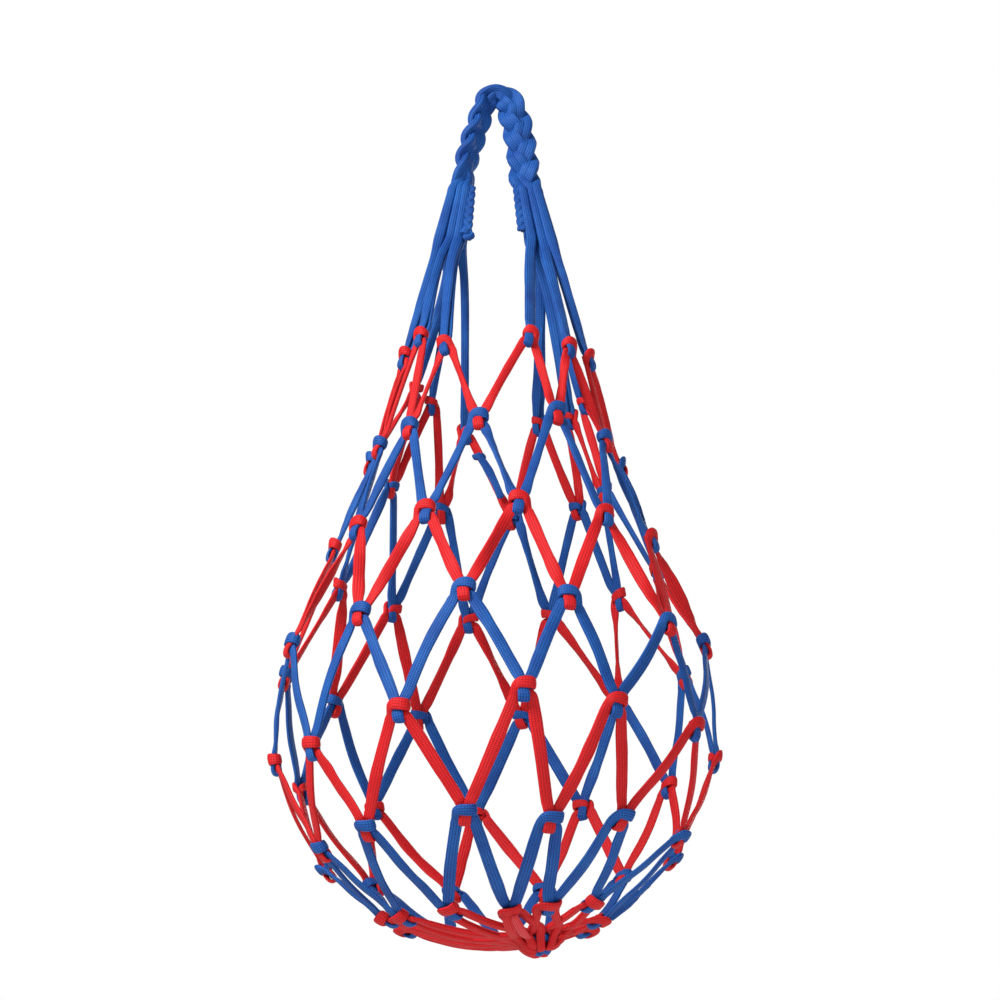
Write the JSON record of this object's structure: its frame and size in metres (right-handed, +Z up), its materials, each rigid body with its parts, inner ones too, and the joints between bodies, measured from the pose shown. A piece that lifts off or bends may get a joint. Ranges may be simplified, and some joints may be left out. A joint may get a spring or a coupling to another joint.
{
  "type": "mesh ball bag",
  "caption": "Knotted mesh carry bag for one ball: a net of flat braided cord in two colours, gathered under the ball, hung by paired cords from a plaited grip.",
  "frame": {"origin": "hang point: the inside of the plaited grip's apex, where a hook or a finger carries the bag", "axes": "+Z up, so the bag hangs towards -Z; -Y is the front and +X the right"},
  "size_m": [0.2518, 0.2523, 0.5483],
  "materials": {
    "blue_cord": "flat tubular braid of blue nylon, soft sheen",
    "red_cord": "flat tubular braid of red nylon, soft sheen"
  },
  "bodies": {
    "grip": {"plait_root_left": "blue_cord", "plait_root_right": "blue_cord", "plait_strand_1": "blue_cord", "plait_strand_2": "blue_cord", "plait_strand_3": "blue_cord"},
    "gathers": {"gather_left": "blue_cord", "gather_right": "blue_cord", "tie_knot": "blue_cord", "tie_tail_left": "blue_cord", "tie_tail_right": "blue_cord"},
    "net": {"base_draw_cord": "blue_cord", "base_knot": "blue_cord", "blue_cord_1_bights": "blue_cord", "blue_cord_1_knots": "blue_cord", "blue_cord_1_legs": "blue_cord", "blue_cord_2_bights": "blue_cord", "blue_cord_2_knots": "blue_cord", "blue_cord_2_legs": "blue_cord", "blue_cord_3_bights": "blue_cord", "blue_cord_3_knots": "blue_cord", "blue_cord_3_legs": "blue_cord", "blue_tail_1": "blue_cord", "blue_tail_2": "blue_cord", "hanger_bights": "blue_cord", "hanger_left_1": "blue_cord", "hanger_left_2": "blue_cord", "hanger_left_3": "blue_cord", "hanger_left_4": "blue_cord", "hanger_left_5": "blue_cord", "hanger_left_6": "blue_cord", "hanger_right_1": "blue_cord", "hanger_right_2": "blue_cord", "hanger_right_3": "blue_cord", "hanger_right_4": "blue_cord", "hanger_right_5": "blue_cord", "hanger_right_6": "blue_cord", "red_cord_1_bights": "red_cord", "red_cord_1_knots": "red_cord", "red_cord_1_legs": "red_cord", "red_cord_2_bights": "red_cord", "red_cord_2_knots": "red_cord", "red_cord_2_legs": "red_cord", "red_cord_3_bights": "red_cord", "red_cord_3_knots": "red_cord", "red_cord_3_legs": "red_cord", "red_cord_4_bights": "red_cord", "red_cord_4_knots": "red_cord", "red_cord_4_legs": "red_cord", "red_tail_1": "red_cord", "red_tail_2": "red_cord"}
  },
  "joints": [
    {"name": "grip_fold", "type": "hinge", "parent": "grip", "child": "gathers", "pos_m": [0, 0, -0.054], "axis": [1, 0, 0], "range_deg": [-90, 90]},
    {"name": "bag_twist", "type": "hinge", "parent": "gathers", "child": "net", "pos_m": [0, 0, -0.098], "axis": [0, 0, 1], "range_deg": [-90, 90], "stiffness_Nm_per_rad": 0.012}
  ]
}
